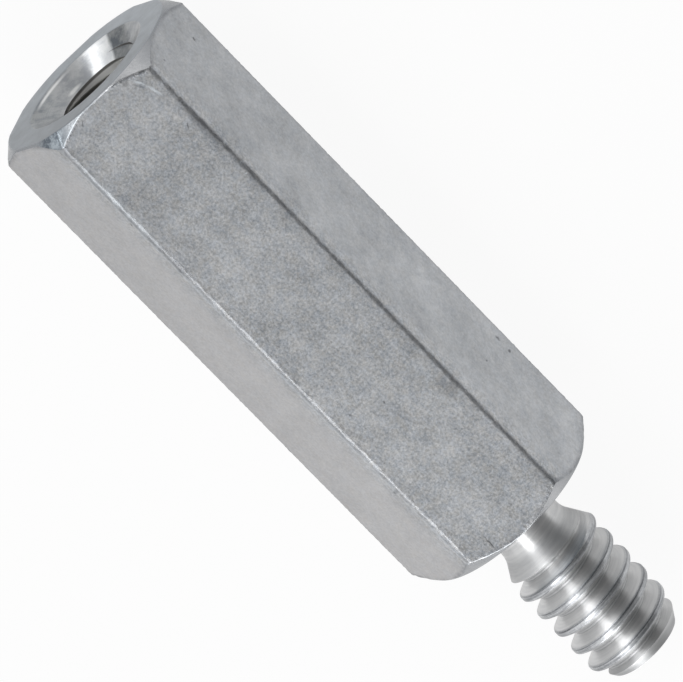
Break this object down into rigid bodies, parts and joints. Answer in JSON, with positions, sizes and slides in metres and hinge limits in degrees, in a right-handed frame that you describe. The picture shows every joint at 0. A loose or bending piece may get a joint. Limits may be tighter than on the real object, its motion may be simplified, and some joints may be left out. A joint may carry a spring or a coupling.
{
  "type": "hex standoff",
  "caption": "Male-female hex standoff: a chamfered hexagonal spacer with a countersunk tapped hole in one end and a threaded stud with a relieved neck on the other.",
  "frame": {"origin": "centre of the shoulder face, on the axis, where the board's hole sits on the stud", "axes": "+X along the axis towards the stud's tip, +Z out of one hex flat; the part lies on the opposite flat"},
  "size_m": [0.0255, 0.0072, 0.0062],
  "materials": {
    "zinc_plated_steel": "clear zinc plate over mild steel: satin on the hex flats, brighter on the turned faces and the thread"
  },
  "bodies": {
    "root": {"standoff": "zinc_plated_steel"}
  },
  "joints": []
}
